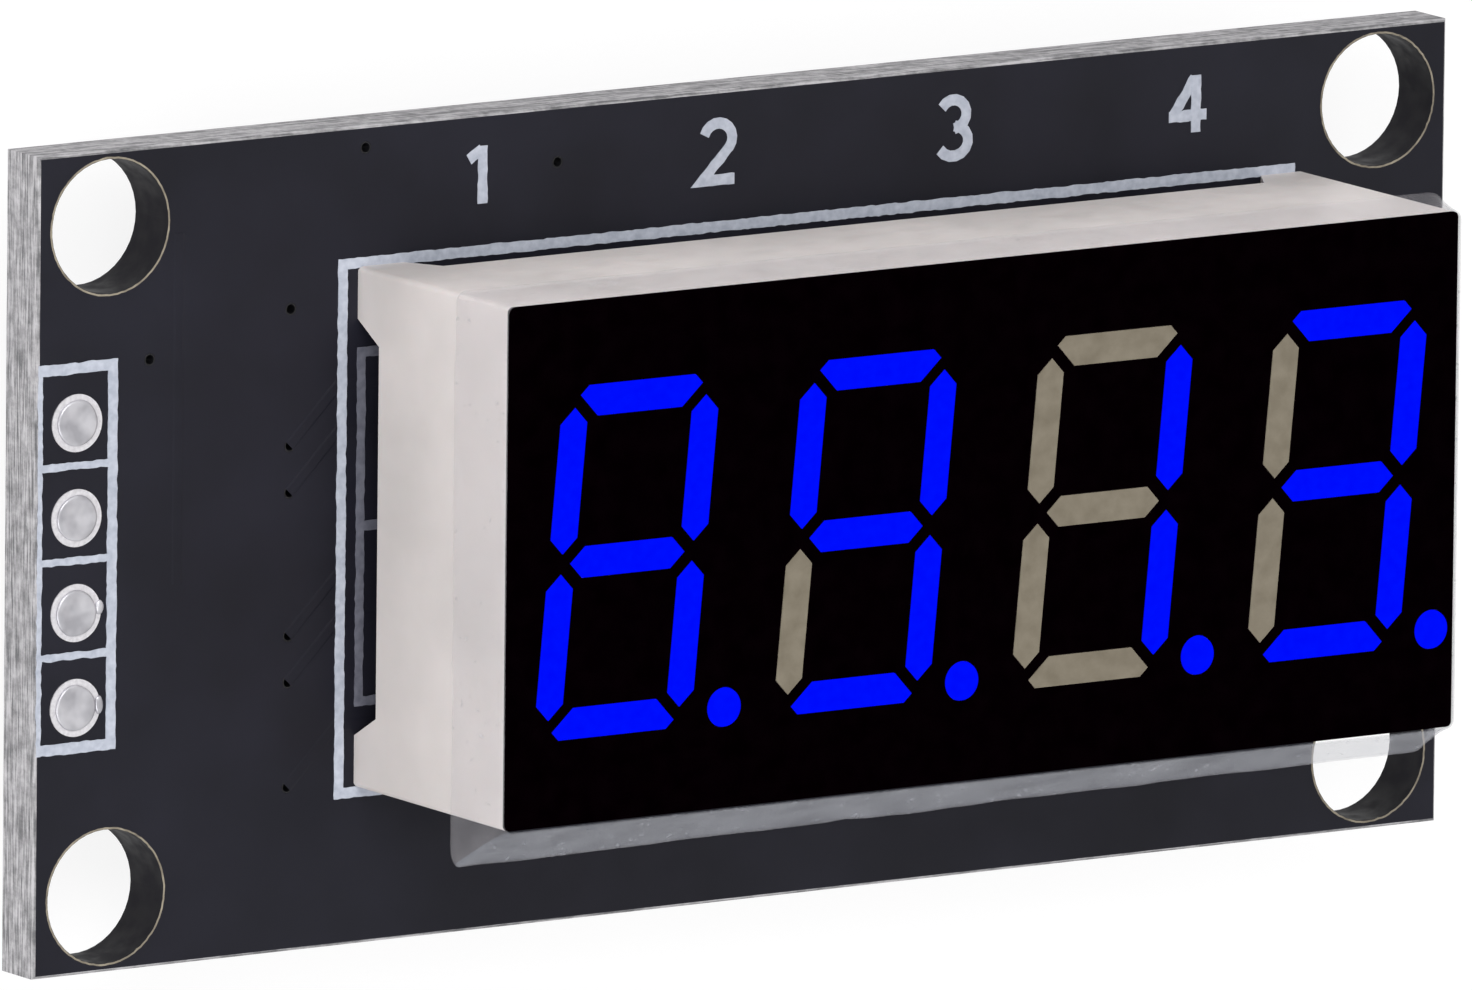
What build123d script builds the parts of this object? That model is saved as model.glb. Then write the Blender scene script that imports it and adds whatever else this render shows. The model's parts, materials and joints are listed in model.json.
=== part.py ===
"""Four-digit seven-segment LED display module, in millimetres.

The module lies on its back: display face up (+Z), length along X, digit height along Y.
The origin is at the centre of the board's outline, on the plane that the driver chip and the
trimmed display pins touch.
"""
import os
from math import radians, tan

from build123d import *

# ---- Circuit board -------------------------------------------------------------------------
board_length = 44.8
board_width = 22.0
board_thickness = 1.6
board_edge_break = 0.08        # chamfer left on both rims by the scored, snapped edge
mount_hole_diameter = 3.6
mount_hole_from_end = 2.24     # hole centre to the short edge
mount_hole_from_side = 2.03    # hole centre to the long edge

# ---- Copper and solder ---------------------------------------------------------------------
copper_thickness = 0.035
plating_thickness = 0.04       # copper on a hole's wall
bond_clearance = 0.01          # left between two metals that are soldered or plated together
via_drill = 0.34
via_positions = [
    (-18.9, 5.3), (-14.5, 6.27), (-14.5, 2.6), (-14.5, 1.35), (-14.5, -2.5),
    (-14.5, -3.75), (-14.5, -6.57), (-12.2, 10.4), (-6.15, 9.5),
]

# ---- Header pads (four-way cable or pin header) --------------------------------------------
header_count = 4
header_pitch = 2.54
header_from_end = 1.24         # pad centres to the short edge
header_drill = 1.0
header_pad_diameter = 1.55
header_solder_dish = 0.12      # how far the solder sinks in the middle of the hole
header_solder_bead = 0.22      # how far it stands out at the back

# ---- LED display ---------------------------------------------------------------------------
display_offset_x = 2.70        # display centre from the board's centre
display_offset_y = 0.23
housing_length = 30.2
housing_width = 14.0
housing_depth = 7.27
housing_wall = 0.6
housing_corner_radius = 0.15
foot_length = 1.4              # flat of each corner foot, along either side
foot_slope = 0.6               # run of the foot's sloping flank
foot_height = 1.05
reflector_depth = 3.9          # front block that holds the light funnels
face_thickness = 0.08
die_room = 0.45                # space for dice and wires behind the reflector
inner_clearance = 0.05         # carrier and potting to the housing's walls
carrier_thickness = 1.0
potting_recess = 0.2           # potting's back to the edge between the feet

# ---- Digits --------------------------------------------------------------------------------
digit_count = 4
digit_pitch = 7.54
digit_half_width = 2.06        # digit centre to the middle of an upright stroke
digit_half_height = 4.3        # digit centre to the middle of the top or bottom stroke
digit_slant = 5.2              # degrees
stroke_width = 0.86
outer_tip_inset = 0.13         # stroke tips to the digit's four corners
middle_tip_inset = 0.25        # stroke tips to the crossings at mid height
tip_shift = 0.18               # tips of the top and bottom strokes, towards the outside
point_diameter = 1.08
point_offset_x = 3.1           # decimal point from the digit's centre
point_offset_y = -4.3
guide_clearance = 0.02         # light guide to its funnel
funnel_back_length = 1.2
funnel_back_width = 0.66
point_back_diameter = 0.76
point_back_shift = -0.45       # the point's funnel leans inboard to reach the carrier

# ---- Dice and bond wires -------------------------------------------------------------------
die_size = 0.3
die_height = 0.15
wire_diameter = 0.04
wire_reach = 0.42
wire_loop = 0.16

# ---- Display pins --------------------------------------------------------------------------
pins_per_row = 6
pin_pitch = 2.54
pin_row_spacing = 10.16
pin_diameter = 0.5
pin_clearance = 0.03           # pin to the hole in the carrier and in the potting
pin_drill = 0.9
pin_pad_diameter = 1.5
joint_height = 1.0             # solder cone above the pad
joint_top_radius = 0.36

# ---- Driver chip, wide small-outline package with 20 leads ---------------------------------
chip_x = -11.25
chip_y = 0.0
chip_length = 12.8
chip_width = 7.5
chip_body_height = 2.3
chip_standoff = 0.15
chip_draft = 0.14              # each face narrows by this from the parting line
leads_per_side = 10
lead_pitch = 1.27
lead_width = 0.4
lead_thickness = 0.25
lead_span = 10.3
lead_foot = 0.75
lead_bend_radius = 0.2
lead_shoulder = 0.4
lead_pad_length = 1.8
lead_pad_width = 0.62
lead_pad_overhang = 0.4        # pad beyond the lead's tip
lead_solder_height = 0.2
dimple_diameter = 1.0
dimple_depth = 0.1
dimple_from_edge = 1.3

# ---- Resistors and capacitors --------------------------------------------------------------
small_size = (1.6, 0.8)        # chip part length and width
resistor_height = 0.45
capacitor_height = 0.8
bulk_size = (3.2, 1.6)
bulk_height = 1.5
terminal_length = 0.3          # how far an end cap wraps along the part
bulk_terminal_length = 0.5
terminal_thickness = 0.05
part_pad_overhang = 0.35       # pad beyond the part's end
part_solder_height = 0.3
column_x = -18.5
column_pitch = 1.6
resistor_slots = (2, 1)        # places up or down the column, counted from its middle
capacitor_slots = (0, -1, -2)
bulk_x = -11.25
bulk_y = -8.8

# ---- Protective film -----------------------------------------------------------------------
film_thickness = 0.05
film_gap = 0.03
film_skirt = 2.55              # depth of the margin folded back round the face
film_flare_end = 1.25          # how far the right-hand margin stands out
film_flare_side = 1.3          # how far the lower margin stands out

# ---- Levels that follow from the above -----------------------------------------------------
board_back = chip_body_height + chip_standoff
board_front = board_back + board_thickness
reflector_back = board_front + housing_depth - reflector_depth
carrier_top = reflector_back - die_room
carrier_bottom = carrier_top - carrier_thickness
potting_bottom = board_front + foot_height + potting_recess
housing_front = board_front + housing_depth
face_front = housing_front + face_thickness
display_centre = Vector(display_offset_x, display_offset_y, 0)


def block(length, width, low, high, x=0.0, y=0.0):
    """Box between two heights, centred at x, y."""
    return Pos(x, y, (low + high) / 2) * Box(length, width, high - low)


def rod(diameter, low, high, x=0.0, y=0.0):
    """Upright cylinder between two heights."""
    return Pos(x, y, (low + high) / 2) * Cylinder(diameter / 2, high - low)


def outline(points, height):
    """Flat polygon at a height."""
    return Pos(0, 0, height) * make_face(Polyline(*points, close=True))


def save(name, *solids):
    """Write one node; several solids make a group."""
    shape = solids[0] if len(solids) == 1 else Compound(children=list(solids))
    export_step(shape, f"parts/{name}.step")


# ---- Places --------------------------------------------------------------------------------
def mount_hole_places():
    x = board_length / 2 - mount_hole_from_end
    y = board_width / 2 - mount_hole_from_side
    return [(sx * x, sy * y) for sx in (-1, 1) for sy in (-1, 1)]


def header_places():
    x = header_from_end - board_length / 2
    middle = (header_count - 1) / 2
    return [(x, header_pitch * (middle - i)) for i in range(header_count)]


def pin_places(side):
    y = display_offset_y + side * pin_row_spacing / 2
    middle = (pins_per_row - 1) / 2
    return [(display_offset_x + pin_pitch * (i - middle), y) for i in range(pins_per_row)]


def digit_centres():
    middle = (digit_count - 1) / 2
    return [display_offset_x + digit_pitch * (i - middle) for i in range(digit_count)]


# ---- Circuit board, plating and solder -----------------------------------------------------
def circuit_board():
    board = block(board_length, board_width, board_back, board_front)
    rims = board.faces().sort_by(Axis.Z)
    board = chamfer(rims[0].edges() + rims[-1].edges(), board_edge_break)
    holes = [(place, mount_hole_diameter) for place in mount_hole_places()]
    holes += [(place, header_drill) for place in header_places()]
    holes += [(place, pin_drill) for side in (-1, 1) for place in pin_places(side)]
    holes += [(place, via_drill) for place in via_positions]
    tools = [rod(size, board_back - 1, board_front + 1, *place) for place, size in holes]
    return board - tools


def plated_hole(place, drill, pad):
    """Copper barrel in a drilled hole, with a ring on both faces of the board."""
    low = board_back - copper_thickness
    high = board_front + copper_thickness
    barrel = rod(drill - 2 * bond_clearance, board_back, board_front, *place)
    rings = [rod(pad, low, board_back, *place), rod(pad, board_front, high, *place)]
    bore = rod(drill - 2 * plating_thickness, low - 1, high + 1, *place)
    return barrel + rings - bore


def via_barrel(place):
    outer = rod(via_drill - 2 * bond_clearance, board_back, board_front, *place)
    inner = rod(via_drill - 2 * plating_thickness, board_back - 1, board_front + 1, *place)
    return outer - inner


def cap_sphere(radius, rise):
    """Ball whose cap of this rise is as wide as a circle of this radius."""
    return Sphere((radius**2 + rise**2) / (2 * rise))


def header_solder(place):
    """Solder left in a header hole: dished in front, a low bead at the back."""
    radius = header_drill / 2 - plating_thickness - bond_clearance
    rim = board_front + copper_thickness
    foot = board_back - copper_thickness
    dish = cap_sphere(radius, header_solder_dish)
    bead = cap_sphere(radius, header_solder_bead)
    dish_z = rim + dish.radius - header_solder_dish
    bead_z = foot + bead.radius - header_solder_bead
    low = foot - header_solder_bead
    below = rod(2 * radius, low - 1, foot) & (Pos(0, 0, bead_z) * bead)
    fill = rod(2 * radius, foot, rim) - Pos(0, 0, dish_z) * dish
    return Pos(*place, 0) * (fill + below)


def pin_solder(place):
    """Solder that fills a plated pin hole and stands as a hollow-sided cone at the back."""
    inner = pin_diameter / 2 + bond_clearance
    bore = pin_drill / 2 - plating_thickness - bond_clearance
    pad = pin_pad_diameter / 2
    rim = board_front + copper_thickness
    foot = board_back - copper_thickness
    tip = foot - joint_height
    profile = [
        Line((inner, rim), (bore, rim)),
        Line((bore, rim), (bore, foot)),
        Line((bore, foot), (pad, foot)),
        ThreePointArc((pad, foot), (joint_top_radius + 0.12, foot - joint_height * 0.45),
                      (joint_top_radius, tip)),
        Line((joint_top_radius, tip), (inner, tip)),
        Line((inner, tip), (inner, rim)),
    ]
    return Pos(*place, 0) * revolve(Plane.XZ * make_face(profile), Axis.Z)


# ---- Digit strokes -------------------------------------------------------------------------
def stroke_layout():
    """Stroke name: centre, half length, upright or not, tip shift."""
    x, y = digit_half_width, digit_half_height
    level_half = x - outer_tip_inset
    middle_half = x - middle_tip_inset
    upright_half = (y - outer_tip_inset - middle_tip_inset) / 2
    upright_y = (y + middle_tip_inset - outer_tip_inset) / 2
    return {
        "segment_a": ((0, y), level_half, False, tip_shift),
        "segment_b": ((x, upright_y), upright_half, True, 0),
        "segment_c": ((x, -upright_y), upright_half, True, 0),
        "segment_d": ((0, -y), level_half, False, -tip_shift),
        "segment_e": ((-x, -upright_y), upright_half, True, 0),
        "segment_f": ((-x, upright_y), upright_half, True, 0),
        "segment_g": ((0, 0), middle_half, False, 0),
    }


def stroke_points(centre, half_length, half_width, upright, shift, digit_x):
    """Six corners of a stroke with pointed 45 degree ends, slanted with its digit."""
    up, down = half_width - shift, half_width + shift
    corners = [
        (-half_length, shift), (up - half_length, half_width), (half_length - up, half_width),
        (half_length, shift), (half_length - down, -half_width), (down - half_length, -half_width),
    ]
    if upright:
        corners = [(y, x) for x, y in corners]
    placed = [(centre[0] + x, centre[1] + y) for x, y in corners]
    lean = tan(radians(digit_slant))
    return [(digit_x + x + y * lean, display_offset_y + y) for x, y in placed]


def stroke_funnel(stroke, digit_x, front, back, clearance):
    """Tapered body from the stroke's outline at the front to a short slot at the back."""
    centre, half, upright, shift = stroke
    wide = stroke_points(centre, half - clearance, stroke_width / 2 - clearance, upright, shift, digit_x)
    narrow = stroke_points(centre, funnel_back_length / 2 - clearance,
                           funnel_back_width / 2 - clearance, upright, 0, digit_x)
    return loft([outline(narrow, back), outline(wide, housing_front)], ruled=True) + extrude(
        outline(wide, housing_front), front - housing_front)


def point_funnel(digit_x, front, back, clearance):
    """Leaning cone from the round decimal point to its die."""
    x, y = digit_x + point_offset_x, display_offset_y + point_offset_y
    small = Pos(x + point_back_shift, y, back) * Circle(point_back_diameter / 2 - clearance)
    large = Pos(x, y, housing_front) * Circle(point_diameter / 2 - clearance)
    return loft([small, large]) + extrude(large, front - housing_front)


def light_channels(digit_x, front, back, clearance):
    """Every stroke and the decimal point of one digit, by name."""
    channels = {
        name: stroke_funnel(stroke, digit_x, front, back, clearance)
        for name, stroke in stroke_layout().items()
    }
    channels["decimal_point"] = point_funnel(digit_x, front, back, clearance)
    return channels


# ---- Display parts -------------------------------------------------------------------------
def foot_relief(length, across):
    """Sloping-ended cut that leaves a foot at each corner, for a side of this length."""
    wide = length / 2 - foot_length
    narrow = wide - foot_slope
    points = [(-wide, 0), (-narrow, foot_height), (narrow, foot_height), (wide, 0)]
    face = Plane.XZ * make_face(Polyline(*points, close=True))
    return extrude(face, across, both=True)


def display_housing():
    low, high = board_front, housing_front
    shell = block(housing_length, housing_width, low, high)
    shell = fillet(shell.edges().filter_by(Axis.Z), housing_corner_radius)
    inner_length = housing_length - 2 * housing_wall
    inner_width = housing_width - 2 * housing_wall
    cavity = block(inner_length, inner_width, low - 1, reflector_back)
    sides = Pos(0, 0, low) * foot_relief(housing_length, housing_width)
    ends = Pos(0, 0, low) * Rot(0, 0, 90) * foot_relief(housing_width, housing_length)
    shell = Pos(*display_centre) * (shell - cavity - sides - ends)
    funnels = []
    for x in digit_centres():
        funnels += light_channels(x, face_front, reflector_back, 0).values()
    return shell - funnels


def black_face():
    face = block(housing_length, housing_width, housing_front, face_front)
    face = Pos(*display_centre) * fillet(face.edges().filter_by(Axis.Z), housing_corner_radius)
    windows = []
    for x in digit_centres():
        for stroke in stroke_layout().values():
            centre, half, upright, shift = stroke
            points = stroke_points(centre, half, stroke_width / 2, upright, shift, x)
            windows.append(extrude(outline(points, housing_front), face_thickness))
        windows.append(rod(point_diameter, housing_front, face_front,
                           x + point_offset_x, display_offset_y + point_offset_y))
    return face - windows


def pin_holes(low, high):
    size = pin_diameter + 2 * pin_clearance
    return [rod(size, low, high, *place) for side in (-1, 1) for place in pin_places(side)]


def inner_slab(low, high):
    """Slab that fits inside the housing's walls and lets the pins through."""
    gap = 2 * (housing_wall + inner_clearance)
    slab = block(housing_length - gap, housing_width - gap, low, high,
                 display_offset_x, display_offset_y)
    return slab - pin_holes(low - 1, high + 1)


def die_places():
    """Place of each die and the direction its bond wire runs."""
    lean = tan(radians(digit_slant))
    places = []
    for digit_x in digit_centres():
        for (x, y), _, upright, _ in stroke_layout().values():
            places.append((digit_x + x + y * lean, display_offset_y + y, 90 if upright else 0))
        places.append((digit_x + point_offset_x + point_back_shift,
                       display_offset_y + point_offset_y, 90))
    return places


def led_die(x, y):
    return block(die_size, die_size, carrier_top, carrier_top + die_height, x, y)


def bond_wire(x, y, turn):
    """Gold loop from the top of a die down to the carrier."""
    start = (0, 0, die_height + wire_diameter / 2)
    end = (wire_reach, 0, wire_diameter / 2)
    top = (wire_reach * 0.35, 0, die_height + wire_loop)
    path = ThreePointArc(start, top, end)
    section = Plane(origin=path @ 0, z_dir=path % 0) * Circle(wire_diameter / 2)
    return Pos(x, y, carrier_top) * Rot(0, 0, turn) * sweep(section, path=path)


def display_pin(place):
    return rod(pin_diameter, 0, carrier_top, *place)


# ---- Driver chip ---------------------------------------------------------------------------
def driver_body():
    """Moulded package, both halves drafted from the parting line, dimple by lead 1."""
    middle = chip_body_height / 2
    wide = Rectangle(chip_width, chip_length)
    narrow = Rectangle(chip_width - 2 * chip_draft, chip_length - 2 * chip_draft)
    lower = loft([narrow, Pos(0, 0, middle) * wide])
    upper = loft([Pos(0, 0, middle) * wide, Pos(0, 0, chip_body_height) * narrow])
    mark = (dimple_from_edge - chip_width / 2, chip_length / 2 - dimple_from_edge)
    dimple = rod(dimple_diameter, -1, dimple_depth, *mark)
    return Pos(chip_x, chip_y, 0) * (lower + upper - dimple)


def lead_path():
    """Gull-wing centre line, outwards from the body, foot on the board's pad."""
    start = chip_width / 2
    tip = lead_span / 2
    level = chip_body_height / 2
    seat = board_back - copper_thickness - lead_thickness / 2
    heel = tip - lead_foot
    points = [(start, 0, level), (start + lead_shoulder, 0, level), (heel, 0, seat), (tip, 0, seat)]
    return FilletPolyline(*points, radius=lead_bend_radius)


def swept_lead(growth):
    path = lead_path()
    section = Plane(origin=path @ 0, x_dir=(0, 1, 0), z_dir=path % 0) * Rectangle(
        lead_width + 2 * growth, lead_thickness + 2 * growth)
    return sweep(section, path=path)


def lead_pad():
    outer = lead_span / 2 + lead_pad_overhang
    x = outer - lead_pad_length / 2
    return block(lead_pad_length, lead_pad_width, board_back - copper_thickness, board_back, x)


def lead_solder():
    """Fillet round a lead's foot, from the pad's edge up to the top of the foot."""
    outer = lead_span / 2 + lead_pad_overhang
    low = board_back - copper_thickness
    base = Pos(outer - lead_pad_length / 2, 0, low) * Rectangle(lead_pad_length, lead_pad_width)
    inner = outer - lead_pad_length + lead_solder_height
    reach = lead_span / 2 + bond_clearance + 0.05 - inner
    top = Pos(inner + reach / 2, 0, low - lead_solder_height) * Rectangle(reach, lead_width + 0.04)
    return loft([base, top], ruled=True) - swept_lead(bond_clearance)


def around_chip(shape):
    """Copies of a right-hand lead part at every lead of the chip."""
    middle = (leads_per_side - 1) / 2
    rows = [Pos(0, lead_pitch * (i - middle), 0) for i in range(leads_per_side)]
    centre = Pos(chip_x, chip_y, 0)
    return [centre * Rot(0, 0, turn) * row * shape for turn in (0, 180) for row in rows]


# ---- Resistors and capacitors --------------------------------------------------------------
def part_body(size, height):
    """Ceramic block between its end caps, on the back of the board."""
    high = board_back - copper_thickness - terminal_thickness
    return block(size[0] - 2 * terminal_thickness, size[1] - 2 * terminal_thickness,
                 high - height + 2 * terminal_thickness, high)


def part_terminal(size, height, wrap):
    """End cap: a five-sided cup over the right-hand end of the block."""
    high = board_back - copper_thickness
    cap = block(wrap, size[1], high - height, high, size[0] / 2 - wrap / 2)
    return cap - part_body(size, height)


def part_pad(size, wrap):
    length = wrap + part_pad_overhang
    x = size[0] / 2 + part_pad_overhang - length / 2
    return block(length, size[1], board_back - copper_thickness, board_back, x)


def part_solder(size):
    """Wedge of solder between a pad and the end cap."""
    high = board_back - copper_thickness
    end = size[0] / 2 + bond_clearance
    points = [(end, high), (end + part_pad_overhang - bond_clearance, high),
              (end + part_pad_overhang * 0.35, high - part_solder_height * 0.45),
              (end, high - part_solder_height)]
    face = Plane.XZ * make_face(Polyline(*points, close=True))
    return extrude(face, (size[1] - 0.1) / 2, both=True)


def both_ends(shape):
    return [shape, Rot(0, 0, 180) * shape]


def in_column(slots, shapes):
    return [Pos(column_x, column_pitch * slot, 0) * shape for slot in slots for shape in shapes]


# ---- Protective film -----------------------------------------------------------------------
def film_shell(growth, low, high):
    """Hood that hugs two sides of the face and flares at the right and below."""
    near_x = housing_length / 2 + film_gap + growth
    near_y = housing_width / 2 + film_gap + growth
    far_x = housing_length / 2 + film_flare_end + growth
    far_y = housing_width / 2 + film_flare_side + growth
    front = [(-near_x, -near_y), (near_x, -near_y), (near_x, near_y), (-near_x, near_y)]
    back = [(-near_x, -far_y), (far_x, -far_y), (far_x, near_y), (-near_x, near_y)]
    return Pos(*display_centre) * loft([outline(back, low), outline(front, high)], ruled=True)


def protective_film():
    high = face_front + film_gap
    low = high - film_skirt
    return film_shell(film_thickness, low, high + film_thickness) - film_shell(0, low, high)


# ---- Every node ----------------------------------------------------------------------------
def build_board():
    save("circuit_board", circuit_board())
    save("header_pads", *[plated_hole(p, header_drill, header_pad_diameter) for p in header_places()])
    save("header_solder", *[header_solder(p) for p in header_places()])
    save("via_barrels", *[via_barrel(p) for p in via_positions])
    rows = pin_places(-1) + pin_places(1)
    save("display_pin_pads", *[plated_hole(p, pin_drill, pin_pad_diameter) for p in rows])
    save("display_pin_solder", *[pin_solder(p) for p in rows])


def build_display():
    save("display_housing", display_housing())
    save("black_face", black_face())
    for number, x in enumerate(digit_centres(), start=1):
        guides = light_channels(x, face_front, reflector_back, guide_clearance)
        for name, guide in guides.items():
            save(f"digit_{number}_{name}", guide)
    save("led_carrier", inner_slab(carrier_bottom, carrier_top))
    save("led_dice", *[led_die(x, y) for x, y, _ in die_places()])
    save("bond_wires", *[bond_wire(*place) for place in die_places()])
    save("back_potting", inner_slab(potting_bottom, carrier_bottom))
    save("display_pins_upper", *[display_pin(p) for p in pin_places(1)])
    save("display_pins_lower", *[display_pin(p) for p in pin_places(-1)])


def build_driver():
    save("driver_chip_body", driver_body())
    save("driver_chip_leads", *around_chip(swept_lead(0)))
    save("driver_chip_pads", *around_chip(lead_pad()))
    save("driver_chip_solder", *around_chip(lead_solder()))


def build_small_parts():
    small, big = small_size, bulk_size
    wrap, big_wrap = terminal_length, bulk_terminal_length
    bulk = Pos(bulk_x, bulk_y, 0)
    resistor_caps = both_ends(part_terminal(small, resistor_height, wrap))
    capacitor_caps = both_ends(part_terminal(small, capacitor_height, wrap))
    save("pull_up_resistors", *in_column(resistor_slots, [part_body(small, resistor_height)]))
    save("resistor_terminals", *in_column(resistor_slots, resistor_caps))
    save("small_capacitors", *in_column(capacitor_slots, [part_body(small, capacitor_height)]))
    save("capacitor_terminals", *in_column(capacitor_slots, capacitor_caps))
    save("bulk_capacitor", bulk * part_body(big, bulk_height))
    save("bulk_capacitor_terminals",
         *[bulk * cap for cap in both_ends(part_terminal(big, bulk_height, big_wrap))])
    every_slot = resistor_slots + capacitor_slots
    save("small_part_pads", *in_column(every_slot, both_ends(part_pad(small, wrap))),
         *[bulk * pad for pad in both_ends(part_pad(big, big_wrap))])
    save("small_part_solder", *in_column(every_slot, both_ends(part_solder(small))),
         *[bulk * bead for bead in both_ends(part_solder(big))])


os.makedirs("parts", exist_ok=True)
build_board()
build_display()
build_driver()
build_small_parts()
save("protective_film", protective_film())
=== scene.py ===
# %% [markdown]
# # A four-digit LED display module
# The module is a small black circuit board with a seven-segment display soldered to it.
# Its CAD pieces come in as a fixed frame, already at their real size and place. This script
# gives every piece its finish and adds what is too thin for the CAD: the white legend, the
# copper tracks under the solder mask, the torn edge of the board and the loose film.

# %% The frame
import itertools
import json
import math

import bmesh
import bpy
from mathutils import Matrix, Vector, noise


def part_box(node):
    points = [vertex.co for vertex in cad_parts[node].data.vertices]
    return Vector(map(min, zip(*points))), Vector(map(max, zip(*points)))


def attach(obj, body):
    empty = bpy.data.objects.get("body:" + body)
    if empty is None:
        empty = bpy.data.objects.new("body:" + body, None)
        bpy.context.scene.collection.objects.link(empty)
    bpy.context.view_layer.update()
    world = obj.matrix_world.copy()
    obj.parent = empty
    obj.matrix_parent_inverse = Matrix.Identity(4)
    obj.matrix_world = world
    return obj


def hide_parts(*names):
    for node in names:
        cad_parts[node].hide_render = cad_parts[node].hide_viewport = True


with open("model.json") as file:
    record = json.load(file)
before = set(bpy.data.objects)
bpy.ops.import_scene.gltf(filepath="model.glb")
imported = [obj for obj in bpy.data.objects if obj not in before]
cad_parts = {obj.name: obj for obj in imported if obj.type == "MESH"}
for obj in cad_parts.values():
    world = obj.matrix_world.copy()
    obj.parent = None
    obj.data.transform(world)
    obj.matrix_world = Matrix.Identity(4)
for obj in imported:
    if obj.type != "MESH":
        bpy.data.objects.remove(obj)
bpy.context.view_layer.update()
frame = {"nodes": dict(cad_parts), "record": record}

# %% [markdown]
# ## Sizes
# Everything is placed from the boxes of the CAD pieces, so the script repeats only a few sizes
# of its own. Millimetres are easier to read than metres on a thing this small, so one factor
# turns them over.

# %% Where the main pieces are
MM = 0.001

board_low, board_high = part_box("circuit_board")
house_low, house_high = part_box("display_housing")
face_low, face_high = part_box("black_face")
film_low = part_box("protective_film")[0]
board_front = board_high[2]
board_back = board_low[2]
display_y = (house_low[1] + house_high[1]) / 2
print("board front at", round(board_front / MM, 2), "mm, face at", round(face_high[2] / MM, 2), "mm")

# %% [markdown]
# ## A small kit for materials
# Real surfaces are never one flat colour, so every material here is a graph of nodes: noise for
# the patchy colour, more noise for roughness, and bump for the relief. Colours are written
# as the hex values that a paint card would give, and one function turns them to linear light.


# %% Colour and node helpers
def linear(hex_code):
    """Linear RGBA from an sRGB hex value."""
    values = [int(hex_code[i:i + 2], 16) / 255 for i in (1, 3, 5)]
    return [v / 12.92 if v <= 0.04045 else ((v + 0.055) / 1.055) ** 2.4 for v in values] + [1.0]


def node(material, kind, settings=None, **links):
    """Adds a node, sets its properties and sockets, and links sockets given as (node, output).

    A link called i0 goes to socket number 0, any other to the socket of that name.
    """
    made = material.node_tree.nodes.new("ShaderNode" + kind)
    for name, value in (settings or {}).items():
        if isinstance(name, str) and hasattr(made, name):
            setattr(made, name, value)
        else:
            made.inputs[name].default_value = value
    for name, (source, output) in links.items():
        numbered = name[0] == "i" and name[1:].isdigit()
        socket = made.inputs[int(name[1:]) if numbered else name.replace("_", " ")]
        material.node_tree.links.new(source.outputs[output], socket)
    return made


def surface(name, **settings):
    """New material: returns it with its main shader, whose sockets take the settings."""
    material = bpy.data.materials.new(name)
    material.use_nodes = True
    shader = material.node_tree.nodes["Principled BSDF"]
    for socket, value in settings.items():
        shader.inputs[socket.replace("_", " ")].default_value = value
    return material, shader


def mottle(material, size_mm, detail=3.0, roughness=0.5, seed=0.0):
    """Soft noise whose blotches are about this wide, in the object's own coordinates."""
    place = node(material, "TexCoord")
    shift = node(material, "Mapping", {"Location": (seed, seed * 1.7, seed * 0.6)},
                 Vector=(place, "Object"))
    settings = {"Scale": 1 / (size_mm * MM), "Detail": detail, "Roughness": roughness}
    return node(material, "TexNoise", settings, Vector=(shift, "Vector"))


def ramp(material, source, output, stops):
    """Colour ramp with the given (position, hex) stops."""
    made = node(material, "ValToRGB", {}, Fac=(source, output))
    elements = made.color_ramp.elements
    while len(elements) < len(stops):
        elements.new(0.5)
    for element, (position, colour) in zip(elements, stops):
        element.position = position
        element.color = linear(colour)
    return made


def spread(material, source, output, low, high, first=0.35, last=0.65):
    """Stretches a texture's middle range to a span of values, for roughness or height."""
    span = {"From Min": first, "From Max": last, "To Min": low, "To Max": high}
    return node(material, "MapRange", span, Value=(source, output))


def relief(material, shader, source, output, depth_mm, strength=1.0, below=None):
    """Bump of a real depth, on top of another bump if one is given."""
    links = {"Height": (source, output)}
    if below:
        links["Normal"] = (below, "Normal")
    bump = node(material, "Bump", {"Strength": strength, "Distance": depth_mm * MM}, **links)
    material.node_tree.links.new(bump.outputs["Normal"], shader.inputs["Normal"])
    return bump


def join(material, source, output, shader, socket):
    material.node_tree.links.new(source.outputs[output], shader.inputs[socket])


def paint(material, shader, source, stops, output="Fac", socket="Base Color"):
    """Colours the shader by a texture, through a ramp."""
    colour = ramp(material, source, output, stops)
    join(material, colour, "Color", shader, socket)


def polish(material, shader, source, low, high):
    """Lets the roughness wander between two values with a texture."""
    gloss = spread(material, source, "Fac", low, high)
    join(material, gloss, "Result", shader, "Roughness")


def dress(name, material):
    """Gives a CAD piece its material."""
    piece = frame["nodes"][name]
    piece.data.materials.clear()
    piece.data.materials.append(material)
    for polygon in piece.data.polygons:
        polygon.material_index = 0


# %% [markdown]
# ## Solder mask over glass-fibre laminate
# A liquid photo-imaged solder mask is a thin epoxy lacquer. It is a blue-black here, with a
# satin gloss and the faint orange peel of a sprayed coat. Copper tracks show through as low
# flat ridges. The laminate's own colour shows only where the board was snapped out of its
# panel, so the board's material looks at the surface's direction: flat faces are mask, and
# upright ones are cut glass fibre, except in the drilled holes.


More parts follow.
